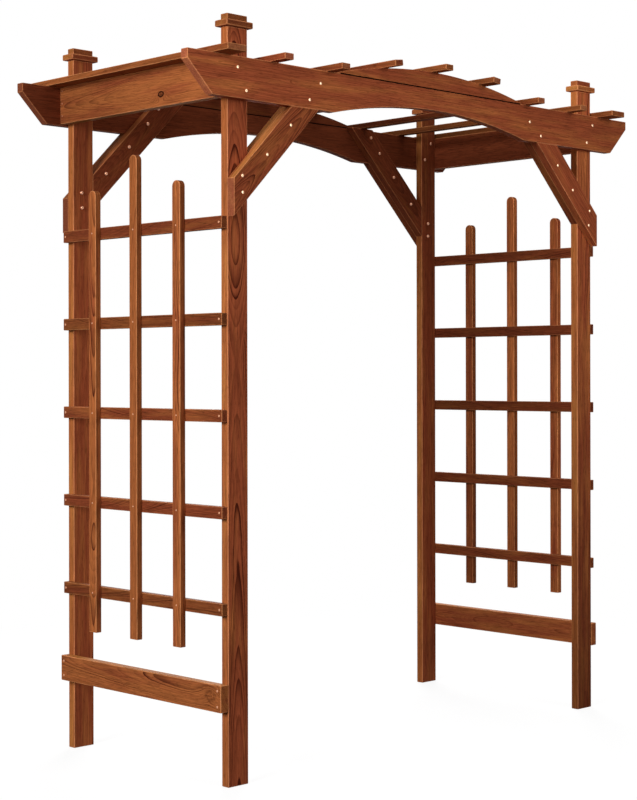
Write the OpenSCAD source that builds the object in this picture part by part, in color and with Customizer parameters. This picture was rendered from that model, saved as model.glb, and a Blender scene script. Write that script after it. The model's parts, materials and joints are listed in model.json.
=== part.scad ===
// Garden arbor in stained softwood: four flat posts carry a pair of arched beams, nine top slats and
// two side trellises. Left is -X, front is -Y, and the ground is at Z = 0.

/* [Frame] */
// Width over the posts' outer sides
span_w = 1650; // [1200:5:2200]
// Depth over the posts' front and back faces
span_d = 740; // [500:5:1200]
// Height of the posts up to the underside of the collars
post_h = 2100; // [1800:5:2600]
// Width of a post's broad face
post_w = 74; // [55:1:95]
// Thickness of the heavy boards: posts, beams, braces, fascias and base boards
stock_t = 28; // [20:1:40]
// Radius of the eased edges of the straight boards
ease_r = 2.5; // [1:0.5:6]

/* [Beams] */
// Height of a beam board
beam_h = 116; // [90:1:160]
// Distance from the top of a post down to the top of the beam
post_rise = 85; // [40:1:160]
// Length of beam outside the posts
beam_over = 166; // [100:1:260]
// Height of the square nose above the slanted end
nose_h = 27; // [10:1:45]
// Rise of the arch cut in the underside
arch_rise = 51; // [25:1:60]
// Flat stretch of underside between the brace and the arch
arch_margin = 59; // [10:1:80]
// Radius that blends the arch into the straight underside
arch_blend_r = 60; // [40:10:400]
// Rise of the glued crown above the beam
crown_rise = 52; // [25:1:80]
// Thickness left at the crown's blunt tips
crown_tip = 1.5; // [0.5:0.5:4]

/* [Braces] */
// Width of a brace board
brace_w = 75; // [50:1:95]
// Clear leg of the triangle behind the brace
brace_leg = 145; // [80:1:220]

/* [Top slats] */
// Width of the seven inner slats
slat_w = 34; // [24:1:60]
// Width of the two end slats
end_slat_w = 70; // [40:1:100]
// Thickness of every top slat
slat_t = 18; // [12:1:30]
// Length of slat in front of and behind the beams
slat_over = 60; // [20:1:120]
// Clear gap between a post and the nearest inner slat
slat_side_gap = 62; // [20:1:90]
// Clear gap between a post and the end slat
end_slat_gap = 5; // [1:1:12]

/* [Fascias] */
// Height of a side fascia, measured down from the top of the beam
fascia_h = 112; // [80:1:150]

/* [Side trellises] */
// Number of rails on each side
rail_count = 5; // [3:1:7]
// Height of a rail
rail_h = 35; // [24:1:50]
// Thickness of a rail
rail_t = 20; // [14:1:28]
// Setback of a rail's ends from the faces of the posts
rail_inset = 3; // [0:1:15]
// Height of the lowest rail's centre above the ground
rail_low = 491; // [400:1:600]
// Distance from the underside of the beams down to the top rail's centre
rail_drop = 340; // [280:1:450]
// Width of a picket
picket_w = 34; // [24:1:50]
// Thickness of a picket
picket_t = 20; // [14:1:28]
// Spacing of the pickets
picket_pitch = 195; // [120:1:210]
// Length of picket below the lowest rail's centre
picket_tail = 118; // [60:1:150]
// Length of the middle picket above the top rail's centre
picket_rise_mid = 216; // [80:1:230]
// Length of the outer pickets above the top rail's centre
picket_rise_side = 127; // [60:1:200]
// Height of the base board
base_h = 76; // [50:1:120]
// Clear height under the base board
base_z = 209; // [50:1:240]

/* [Post caps] */
// Thickness of the collar
collar_t = 18; // [12:1:30]
// Overhang of the collar on every side of the post
collar_over = 12; // [5:1:25]
// Radius of the collar's corners
collar_r = 4; // [2:1:10]
// Height of the block on top of the collar
cap_h = 18; // [12:1:60]

/* [Hidden] */

ease_fn = 48;
arc_fn = 1440;

// How far a cut runs past the surface it opens
lap = 1;

// Posts and beams
post_out = span_w / 2;
post_in = post_out - post_w;
face_out = span_d / 2;
face_in = face_out - stock_t;
beam_top = post_h - post_rise;
beam_bottom = beam_top - beam_h;
beam_half = post_out + beam_over;
beam_face = face_out + stock_t;

// A brace runs at 45 degrees, so every point on one edge has the same X + Z
brace_upper = post_in + beam_bottom - brace_leg;
brace_lower = brace_upper - brace_w * sqrt(2);

// The arch is one arc, blended into the straight underside on each side
arch_half = brace_lower - beam_bottom - arch_margin;
arch_r = (pow(arch_half, 2) + pow(arch_rise, 2)) / (2 * arch_rise) - arch_blend_r;
arch_crest = beam_bottom + arch_rise;
arch_end = arch_half * arch_r / (arch_r + arch_blend_r);

// The crown carries the three middle slats and ends against the slats beside them
inner_slats = 7;
crown_slats = 3;
crown_gap = 1;
slat_pitch = (2 * (post_in - slat_side_gap) - slat_w) / (inner_slats - 1);
crown_half = (crown_slats + 1) / 2 * slat_pitch - slat_w / 2 - crown_gap;
crown_r = (pow(crown_half, 2) + pow(crown_rise, 2)) / (2 * crown_rise);
crown_centre = beam_top + crown_rise - crown_r;
slat_len = 2 * (beam_face + slat_over);

// Side trellises
rail_high = beam_bottom - rail_drop;
rail_pitch = (rail_high - rail_low) / (rail_count - 1);
rail_len = span_d - 2 * rail_inset;
rail_face = post_out + rail_t;

light_stain = "#A8552F";
dark_stain = "#7A3B22";

// Rectangle with eased corners, centred
module eased(w, d, r = ease_r) {
    square([w - 2 * r, d], center = true);
    square([w, d - 2 * r], center = true);
    for (x = [-1, 1], y = [-1, 1])
        translate([x * (w / 2 - r), y * (d / 2 - r)])
            circle(r = r, $fn = ease_fn);
}

// Board along Y, with its middle at the origin
module board_y(len, wx, hz) {
    translate([0, -len / 2, 0])
        rotate([-90, 0, 0])
            linear_extrude(len)
                eased(wx, hz);
}

// Flat shape drawn in X and Z, as a board whose outer face is at y_face
module upright(y_face) {
    translate([0, y_face, 0])
        rotate([90, 0, 0])
            linear_extrude(stock_t)
                children();
}

// Everything is drawn at the back right; these carry it to its own corner or side
module corner(x, y) {
    mirror([x < 0 ? 1 : 0, 0, 0])
        mirror([0, y < 0 ? 1 : 0, 0])
            children();
}

module post(x, y) {
    color(light_stain)
        corner(x, y)
            translate([post_out - post_w / 2, face_out - stock_t / 2, 0])
                linear_extrude(post_h)
                    eased(post_w, stock_t);
}

module collar(x, y) {
    color(light_stain)
        corner(x, y)
            translate([post_out - post_w / 2, face_out - stock_t / 2, post_h])
                linear_extrude(collar_t)
                    eased(post_w + 2 * collar_over, stock_t + 2 * collar_over, collar_r);
}

module cap(x, y) {
    color(light_stain)
        corner(x, y)
            translate([post_out - post_w / 2, face_out - stock_t / 2, post_h + collar_t])
                linear_extrude(cap_h)
                    eased(post_w, stock_t);
}

// Empty space under the arch: the arc itself, then the blend on each side of it
module arch_cut() {
    joint_z = arch_crest - arch_r + sqrt(pow(arch_r, 2) - pow(arch_end, 2));
    intersection() {
        translate([0, arch_crest - arch_r])
            circle(r = arch_r, $fn = arc_fn);
        translate([-arch_end, beam_bottom - lap])
            square([2 * arch_end, arch_rise + 2 * lap]);
    }
    for (side = [0, 1])
        mirror([side, 0])
            difference() {
                translate([arch_end - lap, beam_bottom - lap])
                    square([arch_half - arch_end + lap, joint_z - beam_bottom + lap]);
                translate([arch_half, beam_bottom + arch_blend_r])
                    circle(r = arch_blend_r, $fn = arc_fn);
            }
}

module beam(y) {
    slant = beam_h - nose_h;
    color(dark_stain)
        corner(1, y)
            upright(beam_face)
                difference() {
                    polygon([
                        [-beam_half, beam_top],
                        [-beam_half, beam_top - nose_h],
                        [-beam_half + slant, beam_bottom],
                        [beam_half - slant, beam_bottom],
                        [beam_half, beam_top - nose_h],
                        [beam_half, beam_top]
                    ]);
                    arch_cut();
                }
}

module crown(y) {
    tip_cut = crown_half - sqrt(pow(crown_r, 2) - pow(crown_r - crown_rise + crown_tip, 2));
    color(dark_stain)
        corner(1, y)
            upright(beam_face)
                intersection() {
                    translate([0, crown_centre])
                        circle(r = crown_r, $fn = arc_fn);
                    translate([-crown_half + tip_cut, beam_top])
                        square([2 * (crown_half - tip_cut), crown_rise + lap]);
                }
}

module fascia(x) {
    color(light_stain)
        corner(x, 1)
            translate([post_out + stock_t / 2, 0, beam_top - fascia_h / 2])
                board_y(span_d, stock_t, fascia_h);
}

// Outer layer of a brace, in line with the beam
module brace_outer(x, y) {
    color(dark_stain)
        corner(x, y)
            upright(beam_face)
                polygon([
                    [post_out, brace_lower - post_out],
                    [post_out, brace_upper - post_out],
                    [brace_upper - beam_bottom, beam_bottom],
                    [brace_lower - beam_bottom, beam_bottom]
                ]);
}

// Inner layer of a brace, in line with the post and behind the beam
module brace_inner(x, y) {
    color(dark_stain)
        corner(x, y)
            upright(face_out)
                polygon([
                    [post_in, brace_lower - post_in],
                    [post_in, brace_upper - post_in],
                    [brace_upper - beam_top, beam_top],
                    [brace_lower - beam_top, beam_top]
                ]);
}

// Inner slat number i, counted from the middle; a slat over the crown leans with its curve
module slat(i) {
    x = i * slat_pitch;
    color(light_stain)
        if (abs(x) < crown_half)
            translate([0, 0, crown_centre])
                rotate([0, asin(x / crown_r), 0])
                    translate([0, 0, crown_r + slat_t / 2])
                        board_y(slat_len, slat_w, slat_t);
        else
            translate([x, 0, beam_top + slat_t / 2])
                board_y(slat_len, slat_w, slat_t);
}

module end_slat(x) {
    color(light_stain)
        corner(x, 1)
            translate([post_out + end_slat_gap + end_slat_w / 2, 0, beam_top + slat_t / 2])
                board_y(slat_len, end_slat_w, slat_t);
}

module rails(x) {
    color(light_stain)
        corner(x, 1)
            for (i = [0 : rail_count - 1])
                translate([post_out + rail_t / 2, 0, rail_low + i * rail_pitch])
                    board_y(rail_len, rail_t, rail_h);
}

module picket(y, rise) {
    low = rail_low - picket_tail;
    shoulder = rail_high + rise - picket_w / 2;
    translate([rail_face, y, 0])
        rotate([90, 0, 90])
            linear_extrude(picket_t) {
                translate([-picket_w / 2, low])
                    square([picket_w, shoulder - low]);
                translate([0, shoulder])
                    circle(r = picket_w / 2, $fn = ease_fn);
            }
}

module pickets(x) {
    color(light_stain)
        corner(x, 1)
            for (i = [-1 : 1])
                picket(i * picket_pitch, i == 0 ? picket_rise_mid : picket_rise_side);
}

module base_board(x) {
    color(light_stain)
        corner(x, 1)
            translate([post_out + stock_t / 2, 0, base_z + base_h / 2])
                board_y(span_d, stock_t, base_h);
}

post(-1, -1);  // post_front_left
post(1, -1);  // post_front_right
post(-1, 1);  // post_back_left
post(1, 1);  // post_back_right
collar(-1, -1);  // collar_front_left
collar(1, -1);  // collar_front_right
collar(-1, 1);  // collar_back_left
collar(1, 1);  // collar_back_right
cap(-1, -1);  // cap_front_left
cap(1, -1);  // cap_front_right
cap(-1, 1);  // cap_back_left
cap(1, 1);  // cap_back_right
beam(-1);  // beam_front
beam(1);  // beam_back
crown(-1);  // crown_front
crown(1);  // crown_back
fascia(-1);  // fascia_left
fascia(1);  // fascia_right
brace_outer(-1, -1);  // brace_outer_front_left
brace_outer(1, -1);  // brace_outer_front_right
brace_outer(-1, 1);  // brace_outer_back_left
brace_outer(1, 1);  // brace_outer_back_right
brace_inner(-1, -1);  // brace_inner_front_left
brace_inner(1, -1);  // brace_inner_front_right
brace_inner(-1, 1);  // brace_inner_back_left
brace_inner(1, 1);  // brace_inner_back_right
end_slat(-1);  // slat_1
slat(-3);  // slat_2
slat(-2);  // slat_3
slat(-1);  // slat_4
slat(0);  // slat_5
slat(1);  // slat_6
slat(2);  // slat_7
slat(3);  // slat_8
end_slat(1);  // slat_9
rails(-1);  // rails_left
rails(1);  // rails_right
pickets(-1);  // pickets_left
pickets(1);  // pickets_right
base_board(-1);  // base_board_left
base_board(1);  // base_board_right
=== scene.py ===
"""Looks of a garden arbor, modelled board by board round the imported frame.

Left is -X, front is -Y and the ground is at Z = 0. Lengths are in metres, or in millimetres where a
name ends in _mm.
"""

import itertools
import json
import logging
import math
import random
from collections.abc import Callable, Iterator
from dataclasses import dataclass, field, replace
from enum import Enum
from typing import Any

import bpy
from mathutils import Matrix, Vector

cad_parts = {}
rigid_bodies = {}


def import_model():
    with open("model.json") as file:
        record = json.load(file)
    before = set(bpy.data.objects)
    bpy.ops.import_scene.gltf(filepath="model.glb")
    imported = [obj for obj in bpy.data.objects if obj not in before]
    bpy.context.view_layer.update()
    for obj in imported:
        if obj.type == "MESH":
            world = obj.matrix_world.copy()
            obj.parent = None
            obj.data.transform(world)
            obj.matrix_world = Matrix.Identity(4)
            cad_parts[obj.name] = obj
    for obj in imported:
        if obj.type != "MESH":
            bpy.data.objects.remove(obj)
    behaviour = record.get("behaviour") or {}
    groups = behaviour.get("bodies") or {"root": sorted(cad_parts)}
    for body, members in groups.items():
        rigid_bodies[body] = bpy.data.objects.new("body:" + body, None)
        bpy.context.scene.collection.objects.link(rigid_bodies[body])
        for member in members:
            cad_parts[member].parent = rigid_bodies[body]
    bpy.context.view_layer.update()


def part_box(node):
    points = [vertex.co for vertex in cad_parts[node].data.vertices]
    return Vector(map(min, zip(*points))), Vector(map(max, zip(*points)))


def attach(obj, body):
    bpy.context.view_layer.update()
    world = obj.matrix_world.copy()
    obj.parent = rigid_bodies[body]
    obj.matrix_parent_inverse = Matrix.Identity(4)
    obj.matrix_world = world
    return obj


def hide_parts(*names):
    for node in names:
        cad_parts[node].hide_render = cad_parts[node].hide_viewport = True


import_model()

LOG = logging.getLogger("arbor")
MM = 0.001
BODY = "root"
WHITE = (1.0, 1.0, 1.0, 1.0)

X, Y, Z = Vector((1, 0, 0)), Vector((0, 1, 0)), Vector((0, 0, 1))

# Names of the mesh attributes that the wood reads
LOG_PLACE = "log_place"
KNOT_PLACE = "knot_place"
CREST_PLACE = "crest_place"
# The board's lightness, redness and figure. On some boards the lightness paints the light and shade
# that fall on them
BOARD_TONE_AND_LIGHTING = "board_tone"

# Metres between two boards in the wood's own space, so that no two share a figure
LOG_PITCH = 3.7
# Further from a knot or a crest than it reaches
FAR = 99.0
# The random seed of the pile's first board, and the others count on from it
PILE_SEED = 4000
# Points of an outline that lie closer than this are one
WELD = 0.05 * MM
# Most values of a noise lie between these
NOISE_SPAN = (0.3, 0.7)
# How squarely a face has to look along or across the grain to count as an end or a narrow face
END_FACING, NARROW_FACING = 0.6, 0.7
# Edges sharper than this are eased on a board, and stay crisp on a screw head
BOARD_SHARP, HEAD_SHARP = math.radians(25), math.radians(35)

Piece = bpy.types.Object
Material = bpy.types.Material
Tree = bpy.types.NodeTree
Socket = bpy.types.NodeSocket
Outputs = bpy.types.NodeOutputs
Pair = tuple[float, float]
Triple = tuple[float, float, float]


class Side(Enum):
    """The two sides of the walkway."""

    LEFT = -1
    RIGHT = 1


class Front(Enum):
    """The two open ends of the walkway."""

    FRONT = -1
    BACK = 1


class Surface(Enum):
    """The kinds of surface on a board, in the order of its material slots."""

    PLANED = 0
    EASED = 1
    END_GRAIN = 2
    NARROW = 3
    FRESH_CUT = 4


CORNERS = [(front, side) for front in Front for side in Side]
# The slats are numbered from left to right
SLATS = range(1, 10)


def word(option: Enum) -> str:
    """Gives an option's name as it is spelt in node names."""
    return option.name.lower()


def middle(node: str) -> Vector:
    """Gives the middle of a node's box."""
    low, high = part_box(node)
    return (low + high) / 2


def reach(node: str, axis: int, sign: int) -> float:
    """Gives where a node ends along an axis, on the side that the sign names."""
    low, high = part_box(node)
    return (high if sign > 0 else low)[axis]


# ---- Wood: how a board was sawn, and the finish it got ----


@dataclass(frozen=True)
class Knot:
    """A knot on the broad face of a board, measured from the board's middle."""

    along_mm: float
    across_mm: float
    radius_mm: float
    darkness: float = 1.0

    def mark(self, run: float, side: float) -> Triple:
        """Gives a point's place from the knot, counted in its radii, and the knot's darkness."""
        size = self.radius_mm * MM
        return (run - self.along_mm * MM) / size, (side - self.across_mm * MM) / size, self.darkness


@dataclass(frozen=True)
class Crest:
    """A place where the log swelled, so that the saw met its rings as closed ovals.

    The swelling fades over its reach. Past the crest, the stretch makes it fade more slowly.
    """

    along_mm: float
    reach_mm: float
    height_mm: float
    stretch: float = 1.0

    def mark(self, run: float, coarseness: float) -> Triple:
        """Gives a point's distance from the crest, counted in reaches, its height and its slack."""
        far = (run - self.along_mm * MM) / (self.reach_mm * MM)
        return far, self.height_mm * MM / coarseness, 1 / self.stretch


@dataclass(frozen=True)
class Sawing:
    """How one board was cut from its log, which decides the figure on its faces.

    Taper and drift are metres per metre along the board, and the slope of its lightness is lightness
    per metre. On some boards the lightness and its slope paint the light and shade that fall on them.
    """

    pith_mm: float
    offset_mm: float
    taper: float
    drift: float
    lightness: float
    redness: float
    figure: float
    coarseness: float
    crest: Crest | None
    knot: Knot | None = None
    tone_and_lighting_slope: float = 0.0

    @classmethod
    def pick(cls, number: int, ripped: bool) -> "Sawing":
        """Picks a board from the pile.

        Args:
            number: the board's number, which always picks the same board.
            ripped: whether it was ripped narrow from the edge of a wider board, so that its figure is
                mostly straight.

        Returns:
            A plain board without a large knot.
        """
        draw = random.Random(PILE_SEED + number)
        return cls(
            pith_mm=draw.uniform(60, 130),
            offset_mm=draw.uniform(-16, 16) + (34 if ripped else 0),
            taper=draw.choice((-1, 1)) * draw.uniform(0.015, 0.05),
            drift=draw.uniform(-0.006, 0.006),
            lightness=draw.uniform(-0.12, 0.12),
            redness=draw.uniform(-0.5, 0.5),
            figure=draw.uniform(0.7, 1.1),
            coarseness=draw.uniform(0.9, 1.4),
            crest=Crest(draw.uniform(-600, 600), draw.uniform(150, 400), draw.uniform(4, 12)),
        )

    def marks(self, number: int, tone: float, place: Triple) -> dict[str, Triple]:
        """Gives what the wood has to know at one point of the board.

        Args:
            number: the board's number, which gives it a stretch of the log to itself.
            tone: how light boards of its kind are; for some kinds this also paints the shade they stand
                in.
            place: the point's place along, across and through the board, from its middle.

        Returns:
            For each attribute, its value.
        """
        run, side, deep = place
        return {
            LOG_PLACE: (
                run + number * LOG_PITCH,
                (side + self.offset_mm * MM + self.drift * run) / self.coarseness,
                (deep + self.pith_mm * MM + self.taper * run) / self.coarseness,
            ),
            KNOT_PLACE: self.knot.mark(run, side) if self.knot else (FAR, FAR, 0.0),
            CREST_PLACE: self.crest.mark(run, self.coarseness) if self.crest else (FAR, 0.0, 0.0),
            BOARD_TONE_AND_LIGHTING: (tone + self.lightness + self.tone_and_lighting_slope * run, self.redness, self.figure),
        }


# Boards with a figure or a tone of their own, and boards made darker or lighter, or darker towards one
# end, as painted light and shade where they stand. The others are as they come off the pile.
PILE: dict[str, dict[str, Any]] = {
    "post_front_left_board": dict(
        pith_mm=80, offset_mm=-5, taper=0.017, drift=-0.008, lightness=0.22, tone_and_lighting_slope=0.08,
        redness=0.3, figure=1.6, coarseness=1.2, crest=Crest(491, 400, 21, 2.4),
    ),
    "post_front_right_board": dict(
        pith_mm=60, offset_mm=42, taper=0.01, lightness=0.1, tone_and_lighting_slope=0.55, redness=0.1, figure=1.3,
    ),
    "post_back_left_board": dict(pith_mm=60, offset_mm=-40, taper=0.01, redness=0.2),
    # Painted shade: darker towards the top, where the back beam shades it
    "post_back_right_board": dict(
        pith_mm=70, offset_mm=45, taper=0.01, lightness=-0.04, tone_and_lighting_slope=-0.28, redness=0.2,
    ),
    # Painted shade: darker towards its back end, which lies in shade
    "fascia_left_board": dict(
        pith_mm=85, offset_mm=4, taper=-0.015, lightness=-0.07, tone_and_lighting_slope=0.55, redness=-0.2,
        figure=0.8, crest=Crest(40, 200, 4), knot=Knot(115, -21, 8),
    ),
    # Painted shade: the whole board is darkened for the shade on its inner face, and its outer face
    # goes dark with it
    "fascia_right_board": dict(lightness=-0.3, redness=0.6, figure=0.5),
    "base_board_left_board": dict(
        pith_mm=75, offset_mm=-32, taper=-0.03, lightness=0.03, redness=-0.3, figure=1.1,
        coarseness=1.2, crest=None, knot=Knot(326, 6, 15, 0.5),
    ),
    "base_board_right_board": dict(lightness=0.08, redness=0.0, figure=0.5),
    "beam_front_board": dict(
        pith_mm=120, offset_mm=70, taper=0.008, lightness=0.21, tone_and_lighting_slope=-0.12, redness=0.2,
        figure=0.4, knot=Knot(-610, 10, 3, 0.6),
    ),
    # Painted shade: the back beam is darkened, and more so towards its right end, for the shade the
    # front beam throws on it
    "beam_back_board": dict(
        pith_mm=90, offset_mm=40, taper=0.012, lightness=-0.42, tone_and_lighting_slope=-0.1, redness=0.9,
        figure=0.4,
    ),
    "crown_front_board": dict(
        pith_mm=100, offset_mm=60, taper=0.01, lightness=0.14, redness=0.15, figure=0.6,
    ),
    # Painted shade: the back crown is darkened for the shade it lies in behind the front one
    "crown_back_board": dict(
        pith_mm=100, offset_mm=60, taper=0.01, lightness=-0.5, redness=0.4, figure=0.6,
    ),
    "brace_outer_front_left_board": dict(
        pith_mm=45, offset_mm=9, taper=0.035, lightness=0.15, redness=0.2, figure=1.3,
    ),
    "brace_outer_front_right_board": dict(
        pith_mm=70, offset_mm=40, taper=0.01, lightness=0.3, redness=0.3, figure=0.6,
    ),
    "brace_inner_back_right_board": dict(lightness=-0.3, redness=0.4, figure=0.6),
    "brace_inner_back_left_board": dict(lightness=-0.22, redness=0.4, figure=0.6),
    "brace_outer_back_left_board": dict(lightness=-0.25, redness=0.4, figure=0.6),
    "brace_outer_back_right_board": dict(lightness=-0.25, redness=0.4, figure=0.6),
    "picket_left_1": dict(lightness=0.2, redness=-0.2, figure=1.3),
    "picket_left_2": dict(lightness=0.04, redness=-0.4),
    "picket_left_3": dict(
        pith_mm=70, offset_mm=8, taper=-0.02, lightness=0.12, redness=-0.3, figure=1.2,
    ),
    "picket_right_1": dict(lightness=0.22, tone_and_lighting_slope=0.1, redness=0.0, figure=1.2),
    "picket_right_2": dict(lightness=0.42, tone_and_lighting_slope=0.45, redness=-0.3, figure=1.4),
    "picket_right_3": dict(lightness=-0.02, tone_and_lighting_slope=0.25, redness=0.0, figure=1.2),
    "rail_left_2": dict(lightness=0.1, redness=0.2),
    "rail_left_3": dict(lightness=0.1, redness=0.2),
    "rail_left_5": dict(redness=0.3, figure=0.6),
    # Painted shade: the right rails are darkened, and more so towards the back, for the shade on the
    # inside of that side
    "rail_right_2": dict(lightness=-0.05, tone_and_lighting_slope=-0.2, redness=0.2),
    "rail_right_3": dict(lightness=-0.14, tone_and_lighting_slope=-0.45, redness=0.2),
    "rail_right_4": dict(lightness=-0.14, tone_and_lighting_slope=-0.3, redness=0.4),
    "rail_right_5": dict(lightness=-0.06, tone_and_lighting_slope=-0.4, redness=0.2),
    "slat_2_board": dict(lightness=0.3),
    # Painted shade: the slats right of the middle are darkened, and more so towards the back, for the
    # shade between the beams
    "slat_7_board": dict(lightness=-0.28, tone_and_lighting_slope=-0.7),
    "slat_8_board": dict(lightness=-0.24, tone_and_lighting_slope=-0.6),
    "slat_9_board": dict(lightness=-0.34, tone_and_lighting_slope=-0.8),
    "cap_front_right_block": dict(lightness=0.35),
    "collar_front_right_block": dict(lightness=0.35),
}


def linear(hex_colour: str) -> tuple[float, float, float, float]:
    """Turns an sRGB hex colour to the linear values that shaders take.

    Args:
        hex_colour: a colour such as "#A8552F".

    Returns:
        Linear red, green, blue and an alpha of 1.
    """
    parts = [int(hex_colour[i : i + 2], 16) / 255 for i in (1, 3, 5)]
    red, green, blue = (p / 12.92 if p <= 0.04045 else ((p + 0.055) / 1.055) ** 2.4 for p in parts)
    return red, green, blue, 1.0


def add(
    tree: Tree, kind: str, *values: Any, at: dict[int | str, Any] | None = None, **settings: Any
) -> Outputs:
    """Adds a node with its settings, values and links.

    Args:
        tree: the node tree.
        kind: the node's type, without the word that all of them start with.
        values: for the first inputs in turn, the socket that feeds each or its value.
        at: the same for other inputs, by name or number.
        settings: the node's own properties.

    Returns:
        The new node's outputs.
    """
    node = tree.nodes.new(f"ShaderNode{kind}")
    for key, value in settings.items():
        setattr(node, key, value)
    for key, value in (*enumerate(values), *(at or {}).items()):
        if isinstance(value, Socket):
            tree.links.new(value, node.inputs[key])
        else:
            node.inputs[key].default_value = value
    return node.outputs


def new_material(name: str) -> tuple[Material, Tree]:
    """Makes a node material without nodes.

    Args:
        name: the material's name.

    Returns:
        The material and its node tree.
    """
    material = bpy.data.materials.new(name)
    material.use_nodes = True
    material.node_tree.nodes.clear()
    return material, material.node_tree


@dataclass(frozen=True)
class StainedPine:
    """Planed pine under a penetrating red-brown stain.

    The stain leaves the growth rings to show as fine dark lines: arches on the broad faces, straight
    lines on the narrow ones and arcs on the ends. It gathers in patches, and dries to a low satin.
    """

    name: str
    early_hex: str = "#AD6437"
    red_hex: str = "#974B2E"
    late_hex: str = "#481B0F"
    knot_hex: str = "#4E2412"
    rim_hex: str = "#1E0B06"
    sheen_hex: str = "#D98A5C"
    strength: float = 1.0
    contrast: float = 1.5
    ring_mm: float = 2.0
    ring_sharpness: float = 2.2
    year_noise: float = 0.31
    year_spread: float = 2.4
    year_depth: Pair = (0.2, 1.0)
    year_end: float = 0.92
    waver_mm: float = 3.0
    waver_length_mm: float = 420.0
    waver_width_mm: float = 200.0
    fibre_mm: float = 2.4
    fibre_length_mm: float = 90.0
    fibre_shade: Pair = (0.64, 1.34)
    duct_mm: float = 1.6
    duct_length_mm: float = 24.0
    duct_shade: float = 0.62
    patch_mm: float = 25.0
    patch_length_mm: float = 250.0
    patch_gather: Pair = (0.55, 1.1)
    patch_redness: float = 0.5
    knot_squash: float = 0.65
    knot_wobble: float = 0.5
    knot_bend_mm: float = 16.0
    knot_bend_fade: float = 0.6
    roughness: float = 0.68
    specular: float = 0.05
    relief_mm: float = 0.3

    def build(self) -> Material:
        """Builds the material.

        Returns:
            A material that reads the board's attributes.
        """
        material, tree = new_material(self.name)
        place = add(tree, "Attribute", attribute_name=LOG_PLACE)["Vector"]
        knot = self._knot_distance(tree)
        late = self._latewood(tree, place, knot)
        # Real fibres are under 1 mm wide, and these are as coarse as they need to be to show
        fibre = self._streaks(tree, place, (self.fibre_length_mm, self.fibre_mm), 3.0, 0.6)[0]
        colour = self._colour(tree, place, late, fibre, knot)
        dull, duller = self.roughness - 0.06, self.roughness + 0.08
        rough = add(tree, "MapRange", fibre, *NOISE_SPAN, dull, duller)[0]
        height = add(tree, "Math", late, 0.5, fibre, operation="MULTIPLY_ADD")[0]
        relief = {"Strength": 0.5, "Distance": self.relief_mm * MM, "Height": height}
        surface = {
            "Base Color": colour,
            "Roughness": rough,
            "IOR": 1.5,
            "Specular IOR Level": self.specular,
            "Specular Tint": linear(self.sheen_hex),
            "Normal": add(tree, "Bump", at=relief)[0],
        }
        add(tree, "OutputMaterial", add(tree, "BsdfPrincipled", at=surface)[0])
        return material

    @staticmethod
    def _streaks(
        tree: Tree, place: Socket, streak_mm: Pair, detail: float, roughness: float = 0.5
    ) -> Outputs:
        """Draws noise that is stretched along the grain.

        Args:
            tree: the node tree.
            place: the place in the log.
            streak_mm: the length and the width of a streak.
            detail: how many finer layers the noise has.
            roughness: how strong those are.

        Returns:
            The noise as a value and as a colour.
        """
        along, across = (1000 / size for size in streak_mm)
        drawn = add(tree, "VectorMath", place, (along, across, across), operation="MULTIPLY")[0]
        noise = {"Vector": drawn, "Scale": 1.0, "Detail": detail, "Roughness": roughness}
        return add(tree, "TexNoise", at=noise)

    def _knot_distance(self, tree: Tree) -> Socket:
        """Measures the distance from the board's knot on its broad face.

        Args:
            tree: the node tree.

        Returns:
            The distance, 1 at the knot's rim, which is a little out of round.
        """
        place = add(tree, "Attribute", attribute_name=KNOT_PLACE)["Vector"]
        squash = (self.knot_squash, 1.0, 0.0)
        flat = add(tree, "VectorMath", place, squash, operation="MULTIPLY")[0]
        wobble = add(tree, "TexNoise", at={"Vector": flat, "Scale": 1.1, "Detail": 3.0})[0]
        far = add(tree, "VectorMath", flat, operation="LENGTH")["Value"]
        near = add(tree, "Math", far, self.knot_wobble / 2, operation="SUBTRACT")[0]
        return add(tree, "Math", wobble, self.knot_wobble, near, operation="MULTIPLY_ADD")[0]

    def _ring_radius(self, tree: Tree, place: Socket, knot: Socket) -> Socket:
        """Measures the distance from the log's pith, along which its rings follow each other.

        Args:
            tree: the node tree.
            place: the place in the log.
            knot: the distance from the knot.

        Returns:
            The distance, which wavers as the log grew, rises at a knot and dips at a crest.
        """
        # The noise lies round 0.5, so it is centred before it moves the place both ways
        waver_mm = (self.waver_length_mm, self.waver_width_mm)
        sway = self._streaks(tree, place, waver_mm, 3.5)[1]
        centred = add(tree, "VectorMath", sway, (0.5, 0.5, 0.5), operation="SUBTRACT")[0]
        widest = 2 * self.waver_mm * MM
        by = (0.0, widest, widest)
        swayed = add(tree, "VectorMath", centred, by, place, operation="MULTIPLY_ADD")[0]
        cross = add(tree, "VectorMath", swayed, (0.0, 1.0, 1.0), operation="MULTIPLY")[0]
        radius = add(tree, "VectorMath", cross, operation="LENGTH")["Value"]
        # The rings bend round a knot, as if the board rose there
        fade = add(tree, "Math", knot, -self.knot_bend_fade, operation="MULTIPLY")[0]
        swell = add(tree, "Math", math.e, fade, operation="POWER")[0]
        bend = self.knot_bend_mm * MM
        bent = add(tree, "Math", swell, bend, radius, operation="MULTIPLY_ADD")[0]
        # A crest lowers the rings over its reach, which closes them to ovals on the face
        crest = add(tree, "Attribute", attribute_name=CREST_PLACE)["Vector"]
        far, height, slack = add(tree, "SeparateXYZ", crest)
        past = add(tree, "Math", far, slack, operation="MULTIPLY")[0]
        short = add(tree, "Math", far, -1.0, operation="MULTIPLY")[0]
        away = add(tree, "Math", past, short, operation="MAXIMUM")[0]
        bulge = add(tree, "MapRange", away, 0.0, 1.0, height, 0.0, interpolation_type="SMOOTHSTEP")[0]
        return add(tree, "Math", bent, bulge, operation="SUBTRACT")[0]

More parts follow.
